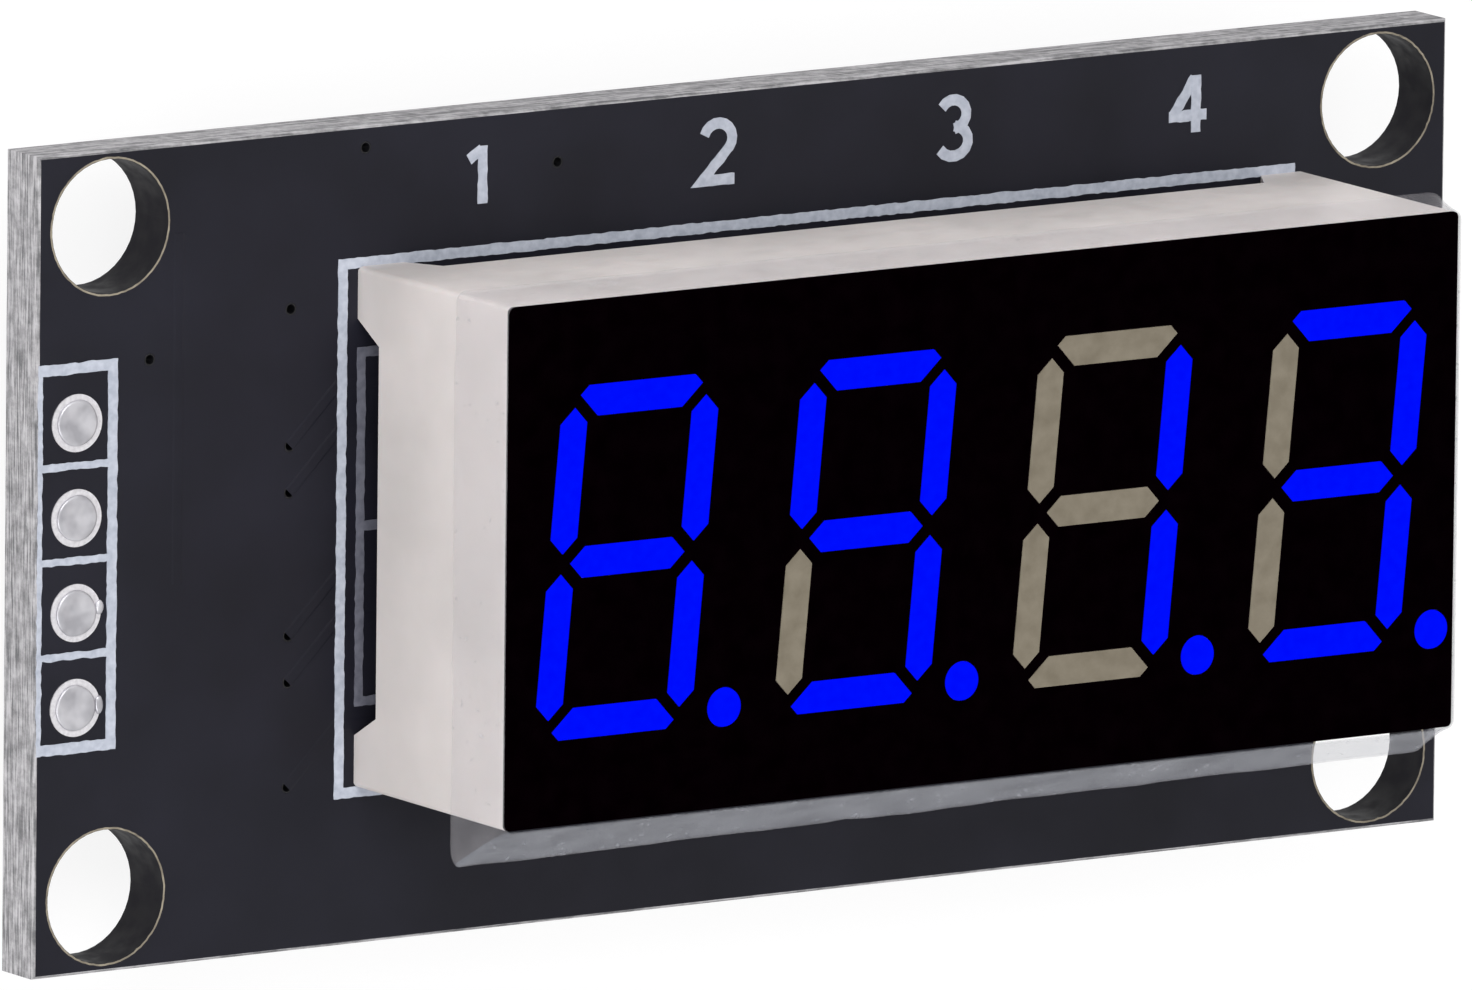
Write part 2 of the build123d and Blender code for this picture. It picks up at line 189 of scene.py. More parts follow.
# %% Solder mask
def solder_mask():
    material, shader = surface("solder_mask_epoxy_black", IOR=1.5, Roughness=0.5,
                               Specular_IOR_Level=0.2)
    blotch = mottle(material, 4.0)
    paint(material, shader, blotch, [(0.3, "#17171f"), (0.7, "#1f1f29")])
    patch = mottle(material, 1.1, seed=3.0)
    polish(material, shader, patch, 0.36, 0.52)
    # Orange peel is about 0.15 mm across and a few micrometres deep.
    peel = mottle(material, 0.16, detail=2.0, seed=7.0)
    low = relief(material, shader, peel, "Fac", 0.004, 0.5)
    waves = mottle(material, 2.6, detail=1.0, seed=11.0)
    relief(material, shader, waves, "Fac", 0.01, 0.4, below=low)
    return material


mask = solder_mask()


# %% [markdown]
# ## The snapped edge
# The panel is scored with a V-shaped cutter and broken by hand. That leaves pale, torn glass
# fibres in woven bundles, lighter where they are frayed and grey-green where the resin shows.
# The fibres lie in the board's plane, so seen from the side they make fine lines along the
# edge. Stretching noise along the edge gives those lines.


# %% Torn laminate edge
fibre_share = 0.65


def torn_laminate():
    material, shader = surface("glass_fibre_edge_snapped", IOR=1.53, Roughness=0.85,
                               Specular_IOR_Level=0.2)
    place = node(material, "TexCoord")
    # Fibre bundles are about 1.5 mm long here and 0.06 mm thick.
    stretch = node(material, "Mapping", {"Scale": (0.04, 0.04, 1.0)}, Vector=(place, "Object"))
    fibres = node(material, "TexNoise", {"Scale": 1 / (0.06 * MM), "Detail": 3.0, "Roughness": 0.6},
                  Vector=(stretch, "Vector"))
    tufts = mottle(material, 0.35, detail=5.0, roughness=0.7, seed=5.0)
    share = {"operation": "MULTIPLY_ADD", 1: fibre_share, 2: 0.0}
    lines = node(material, "Math", share, i0=(fibres, "Fac"))
    share = {"operation": "MULTIPLY_ADD", 1: 1 - fibre_share}
    total = node(material, "Math", share, i0=(tufts, "Fac"), i2=(lines, "Value"))
    greys = [(0.4, "#68686a"), (0.5, "#949395"), (0.6, "#b9b7ba")]
    paint(material, shader, total, greys, output="Value")
    relief(material, shader, total, "Value", 0.04, 0.8)
    return material


torn_edge = torn_laminate()

# %% [markdown]
# The walls of the drilled holes are cut by a spinning bit, so they are smooth and only slightly
# shiny. They are the same laminate as the snapped edge, painted near black as painted shade
# inside the holes.


# %% Drilled wall
def drilled_wall_painted_shade():
    material, shader = surface("glass_fibre_drilled_painted_shade", IOR=1.53, Roughness=0.6)
    blotch = mottle(material, 0.5, seed=2.0)
    shader.inputs["Specular IOR Level"].default_value = 0.1
    # Near-black colours: painted shade in the holes, on the same laminate that is pale at the snapped
    # edge.
    paint(material, shader, blotch, [(0.3, "#0e0d12"), (0.7, "#18171d")])
    polish(material, shader, blotch, 0.45, 0.65)
    relief(material, shader, blotch, "Fac", 0.01, 0.5)
    return material


hole_wall_painted_shade = drilled_wall_painted_shade()

# %% [markdown]
# The board stays the CAD piece. Only its faces are sorted: a face that looks sideways and lies
# on the outer edge is torn laminate, one that looks sideways further in is a hole's wall, and
# the rest is mask.


# %% Dress the board
def dress_board():
    board = frame["nodes"]["circuit_board"]
    board.data.materials.clear()
    for material in (mask, torn_edge, hole_wall_painted_shade):
        board.data.materials.append(material)
    rim = 0.1 * MM
    counts = [0, 0, 0]
    for polygon in board.data.polygons:
        middle = polygon.center
        sideways = abs(polygon.normal.z) < 0.9
        outer = (min(middle.x - board_low[0], board_high[0] - middle.x) < rim
                 or min(middle.y - board_low[1], board_high[1] - middle.y) < rim)
        index = 0 if not sideways else 1 if outer else 2
        polygon.material_index = index
        counts[index] += 1
    print("board faces: mask, torn edge, hole walls", counts)


dress_board()

# %% [markdown]
# ## Tin, solder and copper
# Solder freezes from a liquid, so it is smooth and bright with soft dents, a little greyer than
# chrome. Tin plating on pads and leads is matt, with fine grain.


# %% Metals
def solder_alloy():
    material, shader = surface("solder_reflowed", Metallic=0.7)
    flow = mottle(material, 0.6, detail=2.0, seed=1.0)
    paint(material, shader, flow, [(0.35, "#b3b2b8"), (0.65, "#d6d5da")])
    polish(material, shader, flow, 0.3, 0.45)
    relief(material, shader, flow, "Fac", 0.04, 0.7)
    return material


def tin_plate(name, dark, light, rough, metallic=1.0):
    material, shader = surface(name, Metallic=metallic)
    grain = mottle(material, 0.12, detail=3.0, seed=4.0)
    paint(material, shader, grain, [(0.3, dark), (0.7, light)])
    polish(material, shader, grain, rough, rough + 0.15)
    relief(material, shader, grain, "Fac", 0.008, 0.5)
    return material


solder = solder_alloy()
tin = tin_plate("tin_levelled_on_copper", "#d6d4d8", "#efedf1", 0.35, metallic=0.5)
lead_tin = tin_plate("tin_plated_leads", "#a9a9aa", "#cfcfcf", 0.3)
gold = tin_plate("gold_bond_wire", "#c99a3c", "#e8c267", 0.2)

for name in ("header_pads", "display_pin_pads", "driver_chip_pads", "small_part_pads"):
    dress(name, tin)
for name in ("header_solder", "display_pin_solder", "driver_chip_solder", "small_part_solder"):
    dress(name, solder)
for name in ("display_pins_upper", "display_pins_lower", "driver_chip_leads", "resistor_terminals",
             "capacitor_terminals", "bulk_capacitor_terminals"):
    dress(name, lead_tin)
dress("bond_wires", gold)

# %% [markdown]
# ## The display's plastics
# The housing is moulded in a white-filled engineering plastic that yellows to a warm light
# grey. Its sides carry the faint lines of the mould's cutter and a few scuffs. The front is
# printed with a dense black ink, which is matt and takes almost no light. The strokes are cast
# epoxy with a diffusing powder in it: grey and milky when off, an even saturated blue when lit.


# %% Housing plastic
def moulded_housing():
    material, shader = surface("filled_polyester_moulded", IOR=1.54, Roughness=0.5)
    shader.inputs["Subsurface Weight"].default_value = 0.04
    shader.inputs["Subsurface Scale"].default_value = 0.6 * MM
    cloud = mottle(material, 3.5, seed=6.0)
    paint(material, shader, cloud, [(0.3, "#cbc5c3"), (0.7, "#d8d1cf")])
    wear = mottle(material, 0.8, seed=9.0)
    polish(material, shader, wear, 0.42, 0.62)
    grain = mottle(material, 0.12, detail=4.0, seed=8.0)
    low = relief(material, shader, grain, "Fac", 0.008, 0.5)
    relief(material, shader, cloud, "Fac", 0.06, 0.35, below=low)
    return material


def printed_black():
    material, shader = surface("matt_black_ink_printed", IOR=1.45, Roughness=0.6)
    shader.inputs["Specular IOR Level"].default_value = 0.0
    dust = mottle(material, 0.7, detail=4.0, seed=12.0)
    paint(material, shader, dust, [(0.35, "#020001"), (0.75, "#050103")])
    polish(material, shader, dust, 0.5, 0.7)
    relief(material, shader, dust, "Fac", 0.004, 0.4)
    return material


housing_plastic = moulded_housing()
black_ink = printed_black()
dress("display_housing", housing_plastic)
dress("black_face", black_ink)

# %% [markdown]
# A lit stroke is brighter than anything round it, so it is an emitter: its blue comes out the
# same from every side. A faint noise in the strength stands for the powder in the epoxy. An
# unlit stroke is a pale khaki grey, darker in the middle where one looks down into the funnel
# and lighter at its rim.


# %% Light guides, lit and unlit
def lit_epoxy():
    material, shader = surface("diffusing_epoxy_lit_blue", IOR=1.5, Roughness=0.5)
    shader.inputs["Specular IOR Level"].default_value = 0.0
    shader.inputs["Base Color"].default_value = linear("#000008")
    powder = mottle(material, 0.3, detail=2.0, seed=2.5)
    paint(material, shader, powder, [(0.3, "#000bfc"), (0.7, "#0010ff")], socket="Emission Color")
    shader.inputs["Emission Strength"].default_value = 1.0
    relief(material, shader, powder, "Fac", 0.004, 0.3)
    return material


def unlit_epoxy():
    material, shader = surface("diffusing_epoxy_unlit", IOR=1.5, Roughness=0.55)
    shader.inputs["Specular IOR Level"].default_value = 0.25
    powder = mottle(material, 0.5, detail=3.0, seed=3.5)
    paint(material, shader, powder, [(0.3, "#736b5c"), (0.7, "#827a6b")])
    polish(material, shader, powder, 0.45, 0.65)
    relief(material, shader, powder, "Fac", 0.006, 0.4)
    return material


lit = lit_epoxy()
unlit = unlit_epoxy()
slots = {entry["node"]: entry["material_slot"] for entry in frame["record"]["subparts"]}
guides = [name for name in frame["nodes"] if name.startswith("digit_")]
for name in guides:
    dress(name, lit if slots[name] == "segment_lit" else unlit)
print(len(guides), "light guides,", sum(slots[name] == "segment_lit" for name in guides), "of them lit")


# %% [markdown]
# ## Inside and behind
# The carrier, dice and potting are hidden by the housing but are finished all the same. The
# chip is moulded epoxy with a fine spark-eroded matt, and the ceramic parts are fired, so they
# are dense, a little glossy and slightly uneven in colour.


# %% Other plastics and ceramics
def fired_or_cast(name, dark, light, rough, grain_mm, ior=1.5, depth_mm=0.01, seed=1):
    material, shader = surface(name, IOR=ior, Roughness=rough)
    cloud = mottle(material, grain_mm * 6, seed=seed)
    paint(material, shader, cloud, [(0.3, dark), (0.7, light)])
    polish(material, shader, cloud, rough - 0.06, rough + 0.08)
    grain = mottle(material, grain_mm, detail=3.0, seed=seed + 1)
    relief(material, shader, grain, "Fac", depth_mm, 0.6)
    return material


# Piece, material, dark and light colour, roughness, grain in mm, refraction, grain depth in mm.
cast_pieces = [
    ("driver_chip_body", "epoxy_transfer_moulded", "#1b1b1d", "#262628", 0.55, 0.09, 1.5, 0.02),
    ("pull_up_resistors", "glass_coated_film_black", "#121214", "#1f1f22", 0.3, 0.2, 1.5, 0.01),
    ("small_capacitors", "ceramic_fired_tan", "#8d6c4c", "#a58360", 0.4, 0.15, 1.6, 0.01),
    ("bulk_capacitor", "ceramic_fired_brown", "#7c5f45", "#937457", 0.4, 0.15, 1.6, 0.01),
    ("led_carrier", "glass_fibre_white", "#cfd0bf", "#e0e0d2", 0.5, 0.3, 1.5, 0.01),
    ("back_potting", "epoxy_cast_milky", "#c8c3b2", "#dad6c6", 0.25, 0.5, 1.5, 0.01),
    ("led_dice", "sapphire_die_sawn", "#9fb6d0", "#c8d8ea", 0.15, 0.1, 1.77, 0.01),
    # The vias' mask is painted darker than the board's mask: painted shade in their hollows.
    ("via_barrels", "solder_mask_in_via_painted_shade", "#0d0d10", "#17171b", 0.4, 0.08, 1.5, 0.01),
]
for number, (piece_name, *finish) in enumerate(cast_pieces, 1):
    dress(piece_name, fired_or_cast(*finish, seed=number))
print(len(cast_pieces), "pieces of cast or fired material")

# %% [markdown]
# ## From a mesh to a piece
# The thin things that follow are drawn vertex by vertex. This turns such a drawing into an
# object of the scene.


# %% Mesh to object
def placed(name, mesh, *materials):
    """Object made from a drawn mesh, with these materials."""
    data = bpy.data.meshes.new(name)
    mesh.to_mesh(data)
    mesh.free()
    for material in materials:
        data.materials.append(material)
    made = bpy.data.objects.new(name, data)
    bpy.context.scene.collection.objects.link(made)
    print(name, len(data.polygons), "faces")
    return made


# %% [markdown]
# ## The white legend
# The legend is epoxy ink pressed through a screen. It stands about 0.02 mm proud, its edges are
# a little ragged and its coat is uneven, so it reads as a bluish grey white rather than pure
# white. Each line is a flat ribbon mesh with a small wobble along its edges. The real board's
# words are left off: plain digit numbers stand in their place.

# %% Legend ink
legend_height = 0.02 * MM


def legend_ink(name, dark, light):
    material, shader = surface(name, IOR=1.5, Roughness=0.6)
    coat = mottle(material, 0.2, detail=3.0, seed=1.5)
    paint(material, shader, coat, [(0.3, dark), (0.7, light)])
    polish(material, shader, coat, 0.5, 0.7)
    relief(material, shader, coat, "Fac", 0.01, 0.6)
    return material


ink = legend_ink("legend_epoxy_ink_screened", "#aab0be", "#c3c8d4")
# The same legend ink painted darker: painted shade on the digit drawing beside the housing.
legend_ink_painted_shade = legend_ink("legend_epoxy_ink_painted_shade", "#5c5d69", "#71727e")
print_order = itertools.count()
level_count = 5
level_step = 0.001 * MM
wobbles_per_mm = 5.0


def ragged(x, y, amount):
    """Small repeatable wobble for a printed edge."""
    return amount * noise.noise(Vector((x / MM * wobbles_per_mm, y / MM * wobbles_per_mm, 0.3)))


def ribbon(mesh, points, width, height, closed=False, step=0.12 * MM, rag=0.035 * MM):
    """Adds a printed line of this width along points, with mitred corners and ragged edges."""
    # Each line lies a micrometre off the one before, so lines that cross don't share a plane.
    height += next(print_order) % level_count * level_step
    count = len(points)
    corners = [Vector((x, y, 0)) for x, y in points]
    spans = count if closed else count - 1
    sides = []
    for i in range(count):
        before = (corners[i] - corners[i - 1]).normalized() if closed or i else None
        after = (corners[(i + 1) % count] - corners[i]).normalized() if closed or i < spans else None
        before, after = before or after, after or before
        across = Vector((-(before.y + after.y), before.x + after.x, 0)).normalized()
        stretch = 1 / max(0.3, across.dot(Vector((-after.y, after.x, 0))))
        sides.append(across * (width / 2 * stretch))
    pairs = []
    for i in range(count):
        a, b = corners[i], corners[(i + 1) % count]
        sa, sb = sides[i], sides[(i + 1) % count]
        cuts = max(1, int((b - a).length / step)) if i < spans else 1
        for k in range(cuts):
            middle = a.lerp(b, k / cuts)
            side = sa.lerp(sb, k / cuts)
            pair = []
            for sign in (1, -1):
                edge = middle + side * sign
                if k:
                    edge += side.normalized() * ragged(edge.x, edge.y, rag)
                pair.append(mesh.verts.new((edge.x, edge.y, height)))
            pairs.append(pair)
    for first, second in zip(pairs, pairs[1:] + (pairs[:1] if closed else [])):
        mesh.faces.new((first[1], second[1], second[0], first[0]))


def printed_piece(name, draw, coat, upward=True):
    """Mesh of printed ribbons on a face of the board, thickened to the ink's height."""
    mesh = bmesh.new()
    draw(mesh)
    bmesh.ops.recalc_face_normals(mesh, faces=mesh.faces)
    top = bmesh.ops.extrude_face_region(mesh, geom=mesh.faces[:])
    lifted = [v for v in top["geom"] if isinstance(v, bmesh.types.BMVert)]
    lift = legend_height if upward else -legend_height
    bmesh.ops.translate(mesh, verts=lifted, vec=(0, 0, lift))
    bmesh.ops.recalc_face_normals(mesh, faces=mesh.faces)
    piece = placed(name, mesh, coat)
    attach(piece, "root")


def arc(x, y, rx, ry, start, end, count=10):
    """Points on an ellipse from one angle to another, in degrees."""
    turn = [math.radians(start + (end - start) * i / count) for i in range(count + 1)]
    return [(x + rx * math.cos(a), y + ry * math.sin(a)) for a in turn]


def rectangle(x0, y0, x1, y1):
    return [(x0, y0), (x1, y0), (x1, y1), (x0, y1)]


# %% [markdown]
# The header's legend is four stacked boxes with a common outline, one round each pad. The
# display's legend is its outline, and inside it the drawing of a digit, of which only the left
# stroke and its three arms show beside the housing. That drawing's ink is painted darker, as
# painted shade from the housing.

# %% Front legend
pads_low, pads_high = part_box("header_pads")
pads_x = (pads_low[0] + pads_high[0]) / 2
pads_y = (pads_low[1] + pads_high[1]) / 2
pad_pitch = 2.54 * MM
box_line = 0.3 * MM
box_divider = 0.2 * MM
cut_line = 0.14 * MM


def draw_header_boxes(mesh):
    middle = pads_y + 0.2 * MM
    low, high = middle - 2 * pad_pitch, middle + 2 * pad_pitch
    left = board_low[0] + 0.11 * MM
    right = pads_x + 1.12 * MM
    edge = box_line / 2
    ribbon(mesh, [(left, low), (right, low), (right, high), (left, high)], box_line, board_front)
    ribbon(mesh, [(left, high + edge), (left, low - edge)], cut_line, board_front)
    for i in (-1, 0, 1):
        y = pads_y + 0.13 * MM + i * pad_pitch
        ribbon(mesh, [(left, y), (right, y)], box_divider, board_front)


def draw_display_outline(mesh):
    line = 0.29 * MM
    left, right = house_low[0] - 0.48 * MM, house_low[0] + 29.75 * MM
    low, high = house_low[1] - 0.13 * MM, house_high[1] + 0.10 * MM
    ribbon(mesh, rectangle(left, low, right, high), line, board_front, closed=True)


def draw_digit_drawing(mesh):
    line = 0.26 * MM
    left = house_low[0] + 0.12 * MM
    arm = left + 8.0 * MM
    middle = display_y
    for y in (middle + 4.7 * MM, middle + 0.02 * MM, middle - 4.7 * MM):
        ribbon(mesh, [(left, y), (arm, y)], line, board_front)
    ribbon(mesh, [(left, middle - 4.83 * MM), (left, middle + 4.83 * MM)], line, board_front)


printed_piece("legend_header_boxes", draw_header_boxes, ink)
printed_piece("legend_display_outline", draw_display_outline, ink)
# Drawn in the darker ink, as painted shade beside the housing.
printed_piece("legend_digit_drawing", draw_digit_drawing, legend_ink_painted_shade)

# %% [markdown]
# The drill lifts the mask at each mounting hole's rim and leaves a hair of bare laminate, a thin
# sand-coloured ring. Each ring is a narrow ribbon that follows the hole.

# %% Rims of the mounting holes
rim_laminate = fired_or_cast("glass_fibre_bare_rim", "#6f675a", "#a39a88", 0.7, 0.06, seed=9.0)
hole_radius = 1.8 * MM
hole_from_end = 2.24 * MM
hole_from_side = 2.03 * MM
rim_width = 0.05 * MM
rim_sunk = 0.012 * MM
rim_points = 48


def draw_hole_rims(mesh):
    radius = hole_radius + 0.035 * MM
    for x in (board_low[0] + hole_from_end, board_high[0] - hole_from_end):
        for y in (board_low[1] + hole_from_side, board_high[1] - hole_from_side):
            circle = arc(x, y, radius, radius, 0, 360 - 360 / rim_points, count=rim_points - 1)
            ribbon(mesh, circle, rim_width, board_front - rim_sunk, closed=True, rag=0.02 * MM)


printed_piece("hole_rims", draw_hole_rims, rim_laminate)

# %% [markdown]
# Above the display stand plain numbers, one for each digit. They are drawn as a sign painter
# would, with single strokes of one width: straight ones from their ends and round ones as arcs.


# %% Digit numbers
NUMBER_STROKES = {
    1: [[(-0.22, 0.28), (0.04, 0.44)], [(0.06, 0.5), (0.06, -0.5)]],
    2: [arc(0, 0.22, 0.29, 0.27, 165, -38) + [(-0.32, -0.5), (0.34, -0.5)]],
    3: [arc(-0.02, 0.235, 0.27, 0.255, 150, -85), arc(-0.02, -0.235, 0.31, 0.265, 85, -150)],
    4: [[(0.16, -0.5), (0.16, 0.5)], [(0.13, 0.46), (-0.32, -0.2)], [(-0.4, -0.2), (0.38, -0.2)]],
}


def draw_number(mesh, value, x, y, size, width, level, mirror=1):
    """One number of this height, centred at x, y. Mirrored on the back of the board."""
    for stroke in NUMBER_STROKES[value]:
        points = [(x + mirror * px * size, y + py * size) for px, py in stroke]
        ribbon(mesh, points, width, level)


def digit_middle(value):
    """Middle of a digit from the boxes of its strokes a and d."""
    top_low, top_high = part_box(f"digit_{value}_segment_a")
    end_low, end_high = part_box(f"digit_{value}_segment_d")
    return (top_low[0] + top_high[0] + end_low[0] + end_high[0]) / 4


number_size = 1.55 * MM
number_line = 0.3 * MM
number_y = (house_high[1] + board_high[1]) / 2 + 0.25 * MM


def draw_digit_numbers(mesh):
    for value in NUMBER_STROKES:
        draw_number(mesh, value, digit_middle(value), number_y, number_size, number_line, board_front)


printed_piece("legend_digit_numbers", draw_digit_numbers, ink)

# %% [markdown]
# The back carries the outlines of the parts and a number beside each header pad. The chip's
# outline has a short bar at the end with lead 1.

# %% Back legend
chip_low, chip_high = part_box("driver_chip_body")
row_low, row_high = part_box("driver_chip_pads")
small_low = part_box("small_part_pads")[0]


def draw_back_legend(mesh):
    line = 0.18 * MM
    level = board_back
    room = 0.35 * MM
    outline = rectangle(chip_low[0] + room, chip_low[1] - room, chip_high[0] - room, chip_high[1] + room)
    ribbon(mesh, outline, line, level, closed=True)
    bar_y = chip_high[1] + 2 * room
    ribbon(mesh, [(chip_low[0] + 2 * room, bar_y), (chip_low[0] + 6 * room, bar_y)], line * 1.4, level)
    outline = rectangle(house_low[0], house_low[1], house_high[0], house_high[1])
    ribbon(mesh, outline, line, level, closed=True)
    for i, value in enumerate(NUMBER_STROKES):
        y = pads_y + pad_pitch * (1.5 - i)
        draw_number(mesh, value, pads_x, y - pad_pitch / 2, 0.75 * MM, 0.13 * MM, level, mirror=-1)
    for name in ("pull_up_resistors", "small_capacitors", "bulk_capacitor"):
        low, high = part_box(name)
        gap = 0.2 * MM
        for y in (low[1] - gap, high[1] + gap):
            ribbon(mesh, [(low[0], y), (high[0], y)], line * 0.8, level)


printed_piece("legend_back", draw_back_legend, ink, upward=False)

# %% [markdown]
# ## Copper tracks under the mask
# A track is 0.035 mm of copper, and the mask flows over it, so it shows as a low ridge with
# soft sides in the same black. Each track runs straight, turns by 45 degrees and keeps clear of
# its neighbours. The ridges are ribbons with bevelled sides, in the mask's own material.


# %% Tracks
def ridge(mesh, points, width, level, rise):
    """Low bevelled ridge along a track."""
    corners = [Vector((x, y, 0)) for x, y in points]
    rows = []
    for i, corner in enumerate(corners):
        before = (corner - corners[i - 1]).normalized() if i else (corners[1] - corner).normalized()
        after = (corners[i + 1] - corner).normalized() if i < len(corners) - 1 else before
        across = Vector((-(before.y + after.y), before.x + after.x, 0)).normalized()
        across *= 1 / max(0.4, across.dot(Vector((-after.y, after.x, 0))))
        rows.append([mesh.verts.new(corner + across * (width * share) + Vector((0, 0, level + z)))
                     for share, z in ((-0.5, 0), (-0.32, rise), (0.32, rise), (0.5, 0))])
    for first, second in zip(rows, rows[1:]):
        for k in range(3):
            mesh.faces.new((first[k], first[k + 1], second[k + 1], second[k]))
        mesh.faces.new((first[3], first[0], second[0], second[3]))
    mesh.faces.new(rows[0])
    mesh.faces.new(list(reversed(rows[-1])))


def track(start, end, first_run):
    """Track that leaves along X for first_run, then turns 45 degrees, then runs along X again."""
    (x0, y0), (x1, y1) = start, end
    way = 1 if x1 > x0 else -1
    knee = x0 + way * first_run
    slope = knee + way * abs(y1 - y0)
    return [start, (knee, y0), (slope, y1), end]


def track_piece(name, routes, level, rise, width):
    mesh = bmesh.new()
    for route in routes:
        ridge(mesh, route, width, level, rise)
    bmesh.ops.recalc_face_normals(mesh, faces=mesh.faces)
    piece = placed(name, mesh, mask)
    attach(piece, "root")


lead_pitch = 1.27 * MM
pin_pitch = 2.54 * MM
pin_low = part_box("display_pin_pads")[0]
pin_row = 5.08 * MM
lane_pitch = 0.62 * MM
part_pitch = 1.6 * MM
chip_y = (chip_low[1] + chip_high[1]) / 2
via_left = chip_low[0] + 0.5 * MM


def back_routes():
    """Tracks from the chip to the display pins at its right and to the header at its left."""
    routes = []
    start_x = row_high[0] - 0.2 * MM
    first_pin = pin_low[0] + 0.75 * MM
    for side in (1, -1):
        pin_y = display_y + side * pin_row
        for k in range(4):
            y0 = chip_y + side * lead_pitch * (k + 0.5)
            x1 = first_pin + pin_pitch * (4 - k)
            y1 = pin_y - side * (1.3 * MM + lane_pitch * (3 - k))
            bend = abs(pin_y - y1)
            way = track((start_x, y0), (x1 - bend, y1), (0.5 + 0.35 * k) * MM)
            routes.append(way + [(x1, pin_y - side * 0.3 * MM)])
    column_x = (small_low[0] + 0.5 * MM, small_low[0] + 2.4 * MM)
    for k in range(5):
        y = part_pitch * (2 - k)
        target = chip_y + lead_pitch * (1.5 - k)
        routes.append(track((column_x[1] - 0.2 * MM, y), (row_low[0] + 0.4 * MM, target), 0.15 * MM))
    for k in range(4):
        y = pads_y + pad_pitch * (1.5 - k)
        target = part_pitch * (2 - k if k < 2 else 1 - k)
        routes.append(track((pads_x + 0.6 * MM, y), (column_x[0] + 0.2 * MM, target), 0.1 * MM))
    return routes


header_track_x = -18.0 * MM
via_rows = (2.6, 1.35, -2.5, -3.75, -6.57)


def front_routes():
    """Front tracks that climb at 45 degrees from the left vias and run in under the display."""
    under = house_low[0] + 1.2 * MM
    climb = 1.5 * MM
    knee = via_left + climb
    routes = [[(header_track_x, 8.6 * MM), (header_track_x, -0.8 * MM)]]
    for y in via_rows:
        routes.append([(via_left, y * MM), (knee, y * MM + climb), (under, y * MM + climb)])
    return routes


track_piece("tracks_back", back_routes(), board_back, -0.03 * MM, 0.3 * MM)
track_piece("tracks_front", front_routes(), board_front, 0.013 * MM, 0.34 * MM)

# %% [markdown]
# ## Header pads as they were tinned
# The levelled tin leaves a small nub on some of the pads' rims, where the last drop froze. Two
# of the four pads have one, towards the board's middle.


# %% Tin nubs
def tin_nubs():
    mesh = bmesh.new()
    ring = 0.76 * MM
    for row, height in ((2, 0.2), (3, 0.26)):
        y = pads_y + pad_pitch * (1.5 - row) + (0.1 if row == 2 else 0.02) * MM
        made = bmesh.ops.create_icosphere(mesh, subdivisions=3, radius=1.0)
        for v in made["verts"]:
            lumpy = 1 + 0.12 * noise.noise(v.co * 1.7 + Vector((row, 0, 0)))
            v.co = Vector((pads_x + ring - 0.04 * MM + v.co.x * 0.13 * MM * lumpy,
                           y + v.co.y * height * MM * lumpy,
                           board_front + 0.035 * MM + max(-0.02, v.co.z * 0.09 * lumpy) * MM))
    return mesh


# %% [markdown]
# The solder in each pad's hole has spread over most of the tin and drawn down a little as it
# froze: a shallow dish with a soft rim. It is made by turning a short profile round the hole's
# axis, with a slow wobble so that no two dishes are alike.


# %% Solder dishes
def solder_dishes():
    mesh = bmesh.new()
    rim = 0.62
    profile = [(rim, 0.0), (rim * 0.97, 0.05), (rim * 0.88, 0.06), (rim * 0.6, 0.035), (rim * 0.3, 0.02)]
    turns = 40
    for row in range(4):
        y = pads_y + pad_pitch * (1.5 - row)
        rings = []
        for radius, rise in profile:
            ring = []
            for k in range(turns):
                a = 2 * math.pi * k / turns
                wobble = 1 + 0.05 * noise.noise(Vector((math.cos(a), math.sin(a), row * 3.0)))
                ring.append(mesh.verts.new((pads_x + radius * wobble * math.cos(a) * MM,
                                            y + radius * wobble * math.sin(a) * MM,
                                            pads_high[2] + rise * MM)))
            rings.append(ring)
        for outer, inner in zip(rings, rings[1:]):
            for k in range(turns):
                mesh.faces.new((outer[k], outer[(k + 1) % turns], inner[(k + 1) % turns], inner[k]))
        mesh.faces.new(rings[-1])
        mesh.faces.new(list(reversed(rings[0])))
    return mesh


def solder_piece(name, mesh):
    bmesh.ops.recalc_face_normals(mesh, faces=mesh.faces)
    piece = placed(name, mesh, solder)
    for polygon in piece.data.polygons:
        polygon.use_smooth = True
    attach(piece, "root")


solder_piece("header_solder_dishes", solder_dishes())
solder_piece("tin_nubs", tin_nubs())

# %% [markdown]
# ## The protective film
# The film is a thin vinyl sheet with a weak glue, cut larger than the face and folded back round
# it. It lies flat on the face, where it can't be seen. Its margins cling to the left side
# and the top, but stand off at the right and below, where they look like frosted glass: the
# glue side scatters light. Their pale veil is partly that scatter and partly painted sheen for
# light caught at a glancing angle and from behind, and the cut edge's near-white is a painted
# highlight. The sheet is one grid: a flat front, then margins that follow the face's outline,
# pushed outwards by how loose each stretch is and rippled a little.


